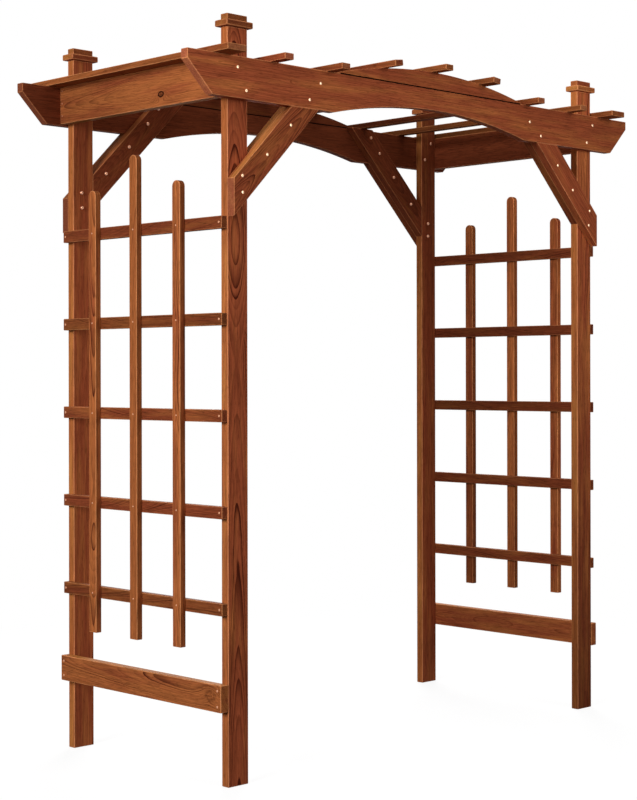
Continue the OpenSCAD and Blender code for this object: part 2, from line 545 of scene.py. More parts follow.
    def _latewood(self, tree: Tree, place: Socket, knot: Socket) -> Socket:
        """Draws the growth rings of the log.

        Args:
            tree: the node tree.
            place: the place in the log.
            knot: the distance from the knot.

        Returns:
            0 in earlywood, and up to 1 in latewood.
        """
        radius = self._ring_radius(tree, place, knot)
        # Good and poor years: the rings differ in width and in strength
        years = add(tree, "Math", radius, 1 / (self.ring_mm * MM), operation="MULTIPLY")[0]
        weather = {"W": years, "Scale": self.year_noise, "Detail": 1.0}
        uneven = add(tree, "TexNoise", at=weather, noise_dimensions="1D")[0]
        count = add(tree, "Math", uneven, self.year_spread, years, operation="MULTIPLY_ADD")[0]
        season = add(tree, "Math", count, operation="FRACT")[0]
        year = add(tree, "Math", count, operation="FLOOR")[0]
        harvest = add(tree, "TexWhiteNoise", at={"W": year}, noise_dimensions="1D")[0]
        depth = add(tree, "MapRange", harvest, 0.1, 1.0, *self.year_depth)[0]
        # The wood darkens slowly through the summer and stops short at the end of the year
        rise = add(tree, "Math", season, self.ring_sharpness, operation="POWER")[0]
        end = (self.year_end, 1.0, 1.0, 0.0)
        fall = add(tree, "MapRange", season, *end, interpolation_type="SMOOTHSTEP")[0]
        line = add(tree, "Math", rise, fall, operation="MULTIPLY")[0]
        return add(tree, "Math", line, depth, operation="MULTIPLY")[0]

    def _ducts(self, tree: Tree, place: Socket) -> Socket:
        """Draws the resin ducts.

        Args:
            tree: the node tree.
            place: the place in the log.

        Returns:
            Short dark dashes along the grain, coarser than real ones.
        """
        dash = self._streaks(tree, place, (self.duct_length_mm, self.duct_mm), 1.0)[0]
        shade = (0.3, 0.42, self.duct_shade, 1.0)
        return add(tree, "MapRange", dash, *shade, interpolation_type="SMOOTHSTEP")[0]

    def _colour(self, tree: Tree, place: Socket, late: Socket, fibre: Socket, knot: Socket) -> Socket:
        """Mixes the stain's colour from the rings, the fibres, the knot and the board's own tone, whose
        lightness on some boards also paints the light and shade that fall on them.

        Args:
            tree: the node tree.
            place: the place in the log.
            late: the growth rings.
            fibre: the fibres.
            knot: the distance from the knot.

        Returns:
            The colour.
        """
        tone = add(tree, "Attribute", attribute_name=BOARD_TONE_AND_LIGHTING)["Vector"]
        lightness, red, figure = add(tree, "SeparateXYZ", tone)
        soak = self._streaks(tree, place, (self.patch_length_mm, self.patch_mm), 2.5)[0]
        reddened = add(tree, "Math", red, self.patch_redness, soak, operation="MULTIPLY_ADD")[0]
        redness = add(tree, "MapRange", reddened, *NOISE_SPAN, interpolation_type="SMOOTHSTEP")[0]
        early = {0: redness, 6: linear(self.early_hex), 7: linear(self.red_hex)}
        wood = add(tree, "Mix", at=early, data_type="RGBA")[2]
        # The stain gathers in streaks, where it draws the rings more strongly
        gather = add(tree, "MapRange", soak, *NOISE_SPAN, *self.patch_gather)[0]
        strength = add(tree, "Math", figure, self.contrast, operation="MULTIPLY")[0]
        drawn = add(tree, "Math", late, gather, operation="MULTIPLY")[0]
        amount = add(tree, "Math", drawn, strength, operation="MULTIPLY", use_clamp=True)[0]
        rings = {0: amount, 6: wood, 7: linear(self.late_hex)}
        ringed = add(tree, "Mix", at=rings, data_type="RGBA")[2]
        shade = add(tree, "MapRange", fibre, 0.28, 0.72, *self.fibre_shade)[0]
        lift = add(tree, "Math", lightness, self.strength, operation="ADD")[0]
        streaked = add(tree, "Math", shade, self._ducts(tree, place), operation="MULTIPLY")[0]
        level = add(tree, "Math", streaked, lift, operation="MULTIPLY")[0]
        toned = add(tree, "VectorMath", at={0: ringed, "Scale": level}, operation="SCALE")[0]
        return self._knot_colour(tree, toned, knot)

    def _knot_colour(self, tree: Tree, wood: Socket, knot: Socket) -> Socket:
        """Lays the knot's brown core and its dark rim over the wood.

        Args:
            tree: the node tree.
            wood: the colour of the wood.
            knot: the distance from the knot.

        Returns:
            The colour with the knot in it.
        """
        place = add(tree, "Attribute", attribute_name=KNOT_PLACE)["Vector"]
        dark = add(tree, "SeparateXYZ", place)[2]
        # The distances that follow are counted in the knot's radii
        burl = add(tree, "TexNoise", at={"Vector": place, "Scale": 2.2, "Detail": 2.0})[0]
        mottle = add(tree, "MapRange", burl, 0.38, 0.6, 0.25, 1.0)[0]
        inside = add(tree, "MapRange", knot, 0.7, 1.3, mottle, 0.0, interpolation_type="SMOOTHSTEP")[0]
        core = add(tree, "Math", inside, dark, operation="MULTIPLY")[0]
        brown = {0: core, 6: wood, 7: linear(self.knot_hex)}
        cored = add(tree, "Mix", at=brown, data_type="RGBA")[2]
        off = add(tree, "Math", knot, 0.9, operation="SUBTRACT")[0]
        away = add(tree, "Math", off, operation="ABSOLUTE")[0]
        edge = add(tree, "MapRange", away, 0.1, 0.45, dark, 0.0, interpolation_type="SMOOTHSTEP")[0]
        # Only a dead knot has a black rim, and a live one melts into the wood
        rim = add(tree, "Math", edge, 3.0, operation="POWER")[0]
        black = {0: rim, 6: cored, 7: linear(self.rim_hex)}
        return add(tree, "Mix", at=black, data_type="RGBA")[2]


@dataclass(frozen=True)
class Metal:
    """Steel with a thin coat, such as bright zinc: pale, a little warm and softly shiny."""

    name: str
    colour_hex: str
    roughness: float
    cloud_mm: float = 1.5

    def build(self) -> Material:
        """Builds the material.

        Returns:
            A material with faint cloudiness from the plating bath.
        """
        material, tree = new_material(self.name)
        noise = {
            "Vector": add(tree, "TexCoord")["Object"],
            "Scale": 1 / (self.cloud_mm * MM),
            "Detail": 2.0,
        }
        cloud = add(tree, "TexNoise", at=noise)[0]
        bright, dull = self.roughness - 0.06, self.roughness + 0.06
        surface = {
            "Base Color": linear(self.colour_hex),
            "Metallic": 1.0,
            "Roughness": add(tree, "MapRange", cloud, *NOISE_SPAN, bright, dull)[0],
        }
        add(tree, "OutputMaterial", add(tree, "BsdfPrincipled", at=surface)[0])
        return material


@dataclass(frozen=True)
class Glue:
    """Cured waterproof wood glue in a joint: nearly black, with a dull skin."""

    name: str = "cured_dark_glue"
    colour_hex: str = "#1D0D08"
    roughness: float = 0.7
    lump_mm: float = 6.0
    relief_mm: float = 0.5

    def build(self) -> Material:
        """Builds the material.

        Returns:
            A material with the small lumps of squeezed-out glue.
        """
        material, tree = new_material(self.name)
        place = add(tree, "TexCoord")["Object"]
        lumps = add(tree, "TexNoise", at={"Vector": place, "Scale": 1 / (self.lump_mm * MM)})[0]
        relief = {"Strength": 0.4, "Distance": self.relief_mm * MM, "Height": lumps}
        surface = {
            "Base Color": linear(self.colour_hex),
            "Roughness": self.roughness,
            "Specular IOR Level": 0.0,
            "Normal": add(tree, "Bump", at=relief)[0],
        }
        add(tree, "OutputMaterial", add(tree, "BsdfPrincipled", at=surface)[0])
        return material


@dataclass(frozen=True)
class Finishes:
    """Every finish on the arbor, built once and shared by its pieces."""

    board: tuple[Material, ...]
    zinc: Material
    toned_zinc: Material
    dulled_zinc: Material
    glue: Material

    @classmethod
    def build(cls) -> "Finishes":
        """Builds every finish.

        Returns:
            A board's five surfaces, the finishes of the fasteners and the glue.
        """
        planed = StainedPine("stained_pine_planed_face")
        # Sanding rounds the edges and leaves them smoother, and the stain is thinner there. The
        # rounding is also made much paler than that would give, a painted highlight that stands in for
        # the shine of the lamps along the edges.
        eased = StainedPine(
            "stained_pine_eased_edge", early_hex="#BE7A4C", red_hex="#B06C46", strength=1.3,
            contrast=0.4, roughness=0.62, specular=0.0,
        )
        # End grain drinks the stain and goes a little darker
        ends = StainedPine("stained_pine_end_grain", strength=0.85, roughness=0.7, fibre_length_mm=3.0)
        # The slats were cut to length last, and their ends took only one thin coat
        cut = StainedPine(
            "stained_pine_fresh_cut", early_hex="#B06B45", red_hex="#9E563A", contrast=0.7,
            roughness=0.7, fibre_length_mm=3.0,
        )
        # The narrow faces show straight edge grain, which takes less stain and stays golden
        narrow = StainedPine(
            "stained_pine_edge_grain", early_hex="#B8763E", red_hex="#A65F34", strength=1.1,
            contrast=0.8,
        )
        return cls(
            board=tuple(finish.build() for finish in (planed, eased, ends, narrow, cut)),
            zinc=Metal("zinc_plated_steel", "#F2CDA8", 0.34).build(),
            toned_zinc=Metal("stain_toned_zinc_steel", "#D9A27E", 0.38).build(),
            dulled_zinc=Metal("stain_dulled_zinc_steel", "#CB9678", 0.36).build(),
            glue=Glue().build(),
        )


# ---- Modelling by operators ----


def clear_selection() -> None:
    """Leaves edit mode and deselects everything, so that the next operator acts on its own piece."""
    if bpy.context.object and bpy.context.object.mode != "OBJECT":
        bpy.ops.object.mode_set(mode="OBJECT")
    bpy.ops.object.select_all(action="DESELECT")


def pick_up(piece: Piece) -> None:
    """Makes one piece the selected and active one.

    Args:
        piece: the piece.
    """
    clear_selection()
    piece.select_set(True)
    bpy.context.view_layer.objects.active = piece


def settle(piece: Piece) -> None:
    """Moves a piece's place into its mesh, so that its object sits at the origin."""
    pick_up(piece)
    bpy.ops.object.transform_apply(location=True, rotation=True, scale=True)


def name_new(name: str) -> Piece:
    """Names the piece that an operator has just made.

    Args:
        name: the piece's name.

    Returns:
        The piece.
    """
    piece = bpy.context.object
    piece.name = piece.data.name = name
    return piece


def apply_modifier(piece: Piece, kind: str, **settings: Any) -> None:
    """Adds a modifier with its settings and applies it.

    Args:
        piece: the piece to change.
        kind: the modifier's type.
        settings: the modifier's properties.
    """
    pick_up(piece)
    modifier = piece.modifiers.new(kind.title(), kind)
    for key, value in settings.items():
        setattr(modifier, key, value)
    bpy.ops.object.modifier_apply(modifier=modifier.name)


class Part(Enum):
    """The parts of a mesh that are selected, as Blender's select mode for each."""

    POINT = (True, False, False)
    FACE = (False, False, True)


def select_where(piece: Piece, part: Part, chosen: Callable[[Any], bool]) -> None:
    """Selects the points or faces of a mesh that pass a test, and stays in edit mode.

    Args:
        piece: the piece, which becomes the active one.
        part: the points or the faces.
        chosen: the test.
    """
    pick_up(piece)
    bpy.ops.object.mode_set(mode="EDIT")
    bpy.context.tool_settings.mesh_select_mode = part.value
    bpy.ops.mesh.select_all(action="DESELECT")
    bpy.ops.object.mode_set(mode="OBJECT")
    for item in piece.data.polygons if part is Part.FACE else piece.data.vertices:
        item.select = chosen(item)
    bpy.ops.object.mode_set(mode="EDIT")


def saw_board(name: str, low: Vector, high: Vector, lean: float = 0.0) -> Piece:
    """Saws a straight board that fills a box.

    Args:
        name: the piece's name.
        low: the box's lowest corner.
        high: the box's highest corner.
        lean: how far it is then turned about its own length, which lies along Y.

    Returns:
        The board, with square edges.
    """
    clear_selection()
    place = {"location": (low + high) / 2, "rotation": (0, lean, 0), "scale": high - low}
    bpy.ops.mesh.primitive_cube_add(size=1, **place)
    piece = name_new(name)
    settle(piece)
    return piece


def arc_radius(half: float, rise: float) -> float:
    """Gives the radius of an arc from half its width and its rise."""
    return (half**2 + rise**2) / (2 * rise)


class Plane(Enum):
    """The upright plane an outline is drawn in, as the direction across it and its normal."""

    ELEVATION = (X, Y)
    SIDE_VIEW = (Y, X)


class Outline:
    """A board's outline, drawn by walking one point round it, then filled and given its thickness."""

    def __init__(self, name: str, plane: Plane, level: float, start: Pair) -> None:
        """Puts the first point down.

        Args:
            name: the piece's name.
            plane: the plane to draw in.
            level: where the plane lies along its normal.
            start: the first point, across and up.
        """
        self.right, self.normal = plane.value
        self.spin_axis = -self.right.cross(Z)
        self.level = level
        self.start = self.here = start
        clear_selection()
        bpy.ops.mesh.primitive_plane_add(size=MM)
        self.piece = name_new(name)
        bpy.ops.object.mode_set(mode="EDIT")
        bpy.ops.mesh.select_all(action="SELECT")
        bpy.ops.mesh.merge(type="CENTER")
        bpy.ops.transform.translate(value=self._point(start))

    def _point(self, flat: Pair) -> Vector:
        """Gives the place in space of a point on the plane."""
        return self.right * flat[0] + Z * flat[1] + self.normal * self.level

    def lines(self, *points: Pair) -> None:
        """Draws a straight line to each point in turn.

        Args:
            points: the points, each across and up.
        """
        for point in points:
            step = self._point(point) - self._point(self.here)
            bpy.ops.mesh.extrude_region_move(TRANSFORM_OT_translate={"value": step})
            self.here = point

    def arc(self, centre: Pair, turn: float, steps: int) -> None:
        """Draws an arc about a centre.

        Args:
            centre: the arc's centre, across and up.
            turn: the angle turned, positive from across to up.
            steps: how many straight pieces stand for it.
        """
        bpy.ops.mesh.spin(steps=steps, angle=turn, center=self._point(centre), axis=self.spin_axis)
        across, up = self.here[0] - centre[0], self.here[1] - centre[1]
        cosine, sine = math.cos(turn), math.sin(turn)
        turned = (across * cosine - up * sine, across * sine + up * cosine)
        self.here = (centre[0] + turned[0], centre[1] + turned[1])

    def thicken(self, depth: float) -> Piece:
        """Closes the outline, fills it and gives it its thickness.

        Args:
            depth: the thickness, along the plane's normal.

        Returns:
            The finished solid.
        """
        self.lines(self.start)
        bpy.ops.mesh.select_all(action="SELECT")
        bpy.ops.mesh.remove_doubles(threshold=WELD)
        bpy.ops.mesh.edge_face_add()
        bpy.ops.mesh.extrude_region_move(TRANSFORM_OT_translate={"value": self.normal * depth})
        bpy.ops.mesh.select_all(action="SELECT")
        bpy.ops.mesh.normals_make_consistent(inside=False)
        bpy.ops.object.mode_set(mode="OBJECT")
        return self.piece


def places_in_board(mesh: bpy.types.Mesh, axes: tuple[Vector, ...]) -> list[Triple]:
    """Measures every corner of a board from the board's middle.

    Args:
        mesh: the board's mesh.
        axes: the directions along, across and through the board.

    Returns:
        Each corner's place in those directions.
    """
    corners = [v.co for v in mesh.vertices]
    mean = sum(corners, Vector()) / len(corners)
    spans = [[(corner - mean).dot(axis) for corner in corners] for axis in axes]
    shifts = ((max(span) + min(span)) / 2 * axis for span, axis in zip(spans, axes))
    centre = mean + sum(shifts, Vector())
    return [tuple((corner - centre).dot(axis) for axis in axes) for corner in corners]


# ---- Sub-assemblies ----


@dataclass
class SubAssembly:
    """Boards or fasteners that are made, dressed and reported together."""

    finishes: Finishes
    numbers: Iterator[int]
    slot: str = "stained_board"
    lightness: float = 0.0
    ripped: bool = False
    ends: Surface = Surface.END_GRAIN
    narrows: Surface = Surface.NARROW
    ease_mm: float = 2.0
    ease_steps: int = 3

    def build(self) -> None:
        """Makes the pieces."""
        raise NotImplementedError

    def keep(self, piece: Piece, *nodes: str) -> None:
        """Hands a finished piece to the frame.

        Args:
            piece: the finished piece.
            nodes: the nodes it stands for.
        """
        settle(piece)
        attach(piece, BODY)
        if nodes:
            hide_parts(*nodes)
        LOG.info("%s: %d faces", piece.name, len(piece.data.polygons))

    def ease(self, piece: Piece, radius_mm: float) -> None:
        """Rounds every sharp edge, gives the rounding its own finish and shades the flats flat.

        Args:
            piece: the board to change.
            radius_mm: the radius of the rounding.
        """
        for material in self.finishes.board:
            piece.data.materials.append(material)
        apply_modifier(
            piece,
            "BEVEL",
            width=radius_mm * MM,
            segments=self.ease_steps,
            limit_method="ANGLE",
            angle_limit=BOARD_SHARP,
            material=Surface.EASED.value,
        )
        bpy.ops.object.shade_smooth()
        apply_modifier(piece, "WEIGHTED_NORMAL", weight=100, keep_sharp=False)

    def dress_board(self, piece: Piece, node: str, along: Vector, through: Vector) -> None:
        """Eases a board's edges, gives it its wood and hands it over.

        Args:
            piece: the board, with square edges.
            node: the node it stands for.
            along: the direction of the grain.
            through: the direction from the back of the board to the broad face that shows.
        """
        self.ease(piece, self.ease_mm)
        number = next(self.numbers)
        sawing = replace(Sawing.pick(number, self.ripped), **PILE.get(piece.name, {}))
        across = through.cross(along)
        marks: dict[str, list[float]] = {}
        for place in places_in_board(piece.data, (along, across, through)):
            for name, mark in sawing.marks(number, self.lightness, place).items():
                marks.setdefault(name, []).extend(mark)
        for name, values in marks.items():
            attribute = piece.data.attributes.new(name, "FLOAT_VECTOR", "POINT")
            attribute.data.foreach_set("vector", values)
        for face in piece.data.polygons:
            if face.material_index == Surface.PLANED.value:
                if abs(face.normal.dot(along)) > END_FACING:
                    face.material_index = self.ends.value
                elif abs(face.normal.dot(across)) > NARROW_FACING:
                    face.material_index = self.narrows.value
        self.keep(piece, node)


@dataclass
class Posts(SubAssembly):
    """The four posts: flat boards on end, with their broad faces to the front and back."""

    ease_mm: float = 2.5

    def build(self) -> None:
        """Makes the posts."""
        for front, side in CORNERS:
            node = f"post_{word(front)}_{word(side)}"
            piece = saw_board(f"{node}_board", *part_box(node))
            self.dress_board(piece, node, Z, Y * front.value)


@dataclass
class PostCaps(SubAssembly):
    """The collar and the cap block on each post."""

    # Painted light and shade: the ends, which face left and right, take the paler edge-grain finish,
    # the front and back faces take the darker end-grain finish, and the blocks are darkened, as the
    # lamp on the left lights the ends and leaves the fronts darker
    lightness: float = -0.12
    ends: Surface = Surface.NARROW
    narrows: Surface = Surface.END_GRAIN
    collar_ease_mm: float = 3.5
    cap_ease_mm: float = 2.0
    ease_steps: int = 4
    slot: str = "stained_trim"

    def build(self) -> None:
        """Makes the collars and the caps."""
        for front, side in CORNERS:
            for part, ease_mm in (("collar", self.collar_ease_mm), ("cap", self.cap_ease_mm)):
                self.ease_mm = ease_mm
                node = f"{part}_{word(front)}_{word(side)}"
                piece = saw_board(f"{node}_block", *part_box(node))
                self.dress_board(piece, node, X, Z)


@dataclass
class Beams(SubAssembly):
    """The front and back beams, with slanted ends and a shallow arch in the underside."""

    nose_mm: float = 27.0
    arch_rise_mm: float = 51.0
    arch_half_mm: float = 440.9
    blend_mm: float = 60.0
    ends: Surface = Surface.FRESH_CUT
    narrows: Surface = Surface.PLANED
    arch_steps: int = 48
    blend_steps: int = 8

    def build(self) -> None:
        """Makes the beams."""
        for front in Front:
            node = f"beam_{word(front)}"
            piece = self._draw(f"{node}_board", *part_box(node))
            self.dress_board(piece, node, X, Y * front.value)

    def _draw(self, name: str, low: Vector, high: Vector) -> Piece:
        """Draws one beam in its box.

        Args:
            name: the beam's name.
            low: the box's lowest corner.
            high: the box's highest corner.

        Returns:
            The beam, with square edges.
        """
        half, nose, rise = high.x, self.nose_mm * MM, self.arch_rise_mm * MM
        slant = high.z - low.z - nose
        arch, blend = self.arch_half_mm * MM, self.blend_mm * MM
        radius = arc_radius(arch, rise) - blend
        turn = math.asin(arch / (radius + blend))
        outline = Outline(name, Plane.ELEVATION, low.y, (-half, high.z))
        outline.lines((-half, high.z - nose), (-half + slant, low.z), (-arch, low.z))
        outline.arc((-arch, low.z + blend), turn, self.blend_steps)
        outline.arc((0, low.z + rise - radius), -2 * turn, self.arch_steps)
        outline.arc((arch, low.z + blend), turn, self.blend_steps)
        outline.lines((half - slant, low.z), (half, high.z - nose), (half, high.z))
        return outline.thicken(high.y - low.y)


@dataclass
class Crowns(SubAssembly):
    """The curved crowns glued on top of the beams, with the glue that shows in the joint."""

    tip_mm: float = 1.5
    ease_mm: float = 1.4
    ease_steps: int = 2
    arc_steps: int = 40
    glue_proud_mm: float = 0.1
    glue_height_mm: float = 4.0
    glue_end_mm: float = 12.0

    def build(self) -> None:
        """Makes the crowns and their glue lines."""
        for front in Front:
            node = f"crown_{word(front)}"
            low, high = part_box(node)
            piece = self._draw(f"{node}_board", low, high)
            self.dress_board(piece, node, X, Y * front.value)
            self._glue(f"glue_line_{word(front)}", low, high)

    def _draw(self, name: str, low: Vector, high: Vector) -> Piece:
        """Draws one crown in its box.

        Args:
            name: the crown's name.
            low: the box's lowest corner.
            high: the box's highest corner.

        Returns:
            The crown, with square edges.
        """
        half, tip = high.x, self.tip_mm * MM
        radius = arc_radius(half, high.z - low.z - tip)
        outline = Outline(name, Plane.ELEVATION, low.y, (-half, low.z))
        outline.lines((-half, low.z + tip))
        outline.arc((0, high.z - radius), -2 * math.asin(half / radius), self.arc_steps)
        outline.lines((half, low.z))
        return outline.thicken(high.y - low.y)

    def _glue(self, name: str, low: Vector, high: Vector) -> None:
        """Fills the groove between a crown and its beam with a thin bead of glue.

        Args:
            name: the bead's name.
            low: the lowest corner of the crown's box.
            high: its highest corner.
        """
        proud, tall, inset = self.glue_proud_mm * MM, self.glue_height_mm * MM, self.glue_end_mm * MM
        start = Vector((low.x + inset, low.y - proud, low.z - tall / 2))
        end = Vector((high.x - inset, high.y + proud, low.z + tall / 2))
        bead = saw_board(name, start, end)
        self.ease(bead, self.glue_proud_mm)
        bead.data.materials.clear()
        bead.data.materials.append(self.finishes.glue)
        self.keep(bead)


@dataclass
class Braces(SubAssembly):
    """The knee braces at 45 degrees.

    Each has an outer layer in line with the beam and an inner one in line with the post.
    """

    lightness: float = -0.1
    width_mm: float = 75.0
    ease_mm: float = 1.5

    def build(self) -> None:
        """Makes both layers of every brace."""
        for front, side in CORNERS:
            # The left braces take the paler edge-grain finish on their narrow faces and the paler
            # fresh-cut finish on their ends, and the right ones the plain and the end-grain finish:
            # painted light on the left, whose narrow faces look up towards the lamps, and painted shade
            # on the right, whose narrow faces look down into shade
            self.narrows = Surface.NARROW if side is Side.LEFT else Surface.PLANED
            self.ends = Surface.FRESH_CUT if side is Side.LEFT else Surface.END_GRAIN
            for layer in ("outer", "inner"):
                node = f"brace_{layer}_{word(front)}_{word(side)}"
                piece = self._draw(f"{node}_board", node, side)
                self.dress_board(piece, node, (Z - X * side.value).normalized(), Y * front.value)

    def _draw(self, name: str, node: str, side: Side) -> Piece:
        """Draws one layer in its node's box, from the end at the post to the end at the beam.

        Args:
            name: the layer's name.
            node: its node.
            side: its side of the walkway.

        Returns:
            The layer, with square edges.
        """
        low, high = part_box(node)
        slope = self.width_mm * MM * math.sqrt(2)
        post, beam = reach(node, 0, side.value), reach(node, 0, -side.value)
        outline = Outline(name, Plane.ELEVATION, low.y, (post, low.z))
        outline.lines((post, low.z + slope), (beam + slope * side.value, high.z), (beam, high.z))
        return outline.thicken(high.y - low.y)


@dataclass
class SideBoards(SubAssembly):
    """The fascias under the end slats and the base boards near the ground."""

    def build(self) -> None:
        """Makes the fascias and the base boards."""
        for part in ("fascia", "base_board"):
            for side in Side:
                node = f"{part}_{word(side)}"
                piece = saw_board(f"{node}_board", *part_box(node))
                self.dress_board(piece, node, Y * side.value, X * side.value)


@dataclass
class TopSlats(SubAssembly):
    """The nine slats across the beams. The two beside the middle one lean with the crown."""

    # Painted shade: all slats are darkened, as most of what shows of them lies in the shade between the
    # beams
    lightness: float = -0.1
    ripped: bool = True
    dark_ended: tuple[int, ...] = (4, 5, 9)
    narrows: Surface = Surface.PLANED
    width_mm: float = 34.0
    thickness_mm: float = 18.0
    crown_tip_mm: float = Crowns.tip_mm
    slot: str = "stained_trim"

    def build(self) -> None:
        """Makes the slats."""
        for index in SLATS:
            self.ends = Surface.END_GRAIN if index in self.dark_ended else Surface.FRESH_CUT
            node = f"slat_{index}"
            lean = self._lean(node)
            low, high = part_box(node)
            if lean:
                half = Vector((self.width_mm * MM, high.y - low.y, self.thickness_mm * MM)) / 2
                low, high = middle(node) - half, middle(node) + half
            piece = saw_board(f"{node}_board", low, high, lean)
            self.dress_board(piece, node, Y, Vector((math.sin(lean), 0, math.cos(lean))))

    def _lean(self, node: str) -> float:
        """Measures how far a slat leans.

        Args:
            node: the slat's node.

        Returns:
            The slope of the crown under it, or 0 where it lies level.
        """
        crown_low, crown_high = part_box("crown_front")
        half_thick, across = self.thickness_mm * MM / 2, middle(node).x
        if reach(node, 2, -1) <= crown_low.z + half_thick or abs(across) <= MM:
            return 0.0
        rise = crown_high.z - crown_low.z - self.crown_tip_mm * MM
        return math.asin(across / (arc_radius(crown_high.x, rise) + half_thick))


@dataclass(frozen=True)
class TrellisLayout:
    """Where the rails and pickets of a side lie."""

    rail_count: int = 5
    rail_height_mm: float = 35.0
    picket_pitch_mm: float = 195.0

    def rail_feet(self, side: Side) -> list[float]:
        """Spaces the rails of a side evenly in their node's box.

        Args:
            side: the side of the walkway.

        Returns:
            The height of each rail's lower edge.
        """
        low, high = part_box(f"rails_{word(side)}")
        pitch = (high.z - low.z - self.rail_height_mm * MM) / (self.rail_count - 1)
        return [low.z + index * pitch for index in range(self.rail_count)]


@dataclass
class SideTrellis(SubAssembly):
    """The rails and the round-topped pickets on each side."""

    ripped: bool = True
    narrows: Surface = Surface.PLANED
    rail_tone: float = -0.25
    picket_tone: float = 0.0
    layout: TrellisLayout = TrellisLayout()
    picket_width_mm: float = 34.0
    side_drop_mm: float = 89.0
    top_steps: int = 16
    slot: str = "stained_trim"

    def build(self) -> None:
        """Makes the rails and the pickets."""
        for side in Side:
            self._rails(side)
            self._pickets(side)

    def _rails(self, side: Side) -> None:
        """Makes the rails of one side.

        Args:
            side: the side of the walkway.
        """
        self.lightness = self.rail_tone
        node = f"rails_{word(side)}"
        low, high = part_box(node)
        for index, foot in enumerate(self.layout.rail_feet(side)):
            low.z, high.z = foot, foot + self.layout.rail_height_mm * MM
            piece = saw_board(f"rail_{word(side)}_{index + 1}", low, high)
            self.dress_board(piece, node, Y, X * side.value)

    def _pickets(self, side: Side) -> None:
        """Makes the pickets of one side, the middle one the tallest.

        Args:
            side: the side of the walkway.
        """
        self.lightness = self.picket_tone
        node = f"pickets_{word(side)}"
        low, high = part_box(node)
        half = self.picket_width_mm * MM / 2
        for index in (-1, 0, 1):
            axis = index * self.layout.picket_pitch_mm * MM
            shoulder = high.z - abs(index) * self.side_drop_mm * MM - half
            name = f"picket_{word(side)}_{index + 2}"
            outline = Outline(name, Plane.SIDE_VIEW, low.x, (axis - half, low.z))
            outline.lines((axis + half, low.z), (axis + half, shoulder))
            outline.arc((axis, shoulder), math.pi, self.top_steps)
            piece = outline.thicken(high.x - low.x)
            self.dress_board(piece, node, Z, X * side.value)


@dataclass(frozen=True)
class HeadShape:
    """The head of a screw, bolt or nail, with or without a cross recess.

    The dome's inset is a share of the head's radius, its rise and the recess's depth are shares of
    the height, and the cross's waist is a share of the recess.
    """

    radius_mm: float
    height_mm: float
    recess_mm: float = 0.0
    sides: int = 16
    dome_inset: float = 0.28
    dome_rise: float = 0.45
    recess_depth: float = 0.9
    recess_wall_mm: float = 0.12
    cross_waist: float = 0.52


@dataclass(frozen=True)
class BoltPlaces:
    """Where a brace was drilled, as pairs of how far out and how far up each bolt is.

    Out is measured from the brace's own line, or from the post's middle at its foot. Up is
    measured from the top of the beam.
    """

    brace_mm: tuple[Pair, ...]
    foot_mm: tuple[Pair, ...]


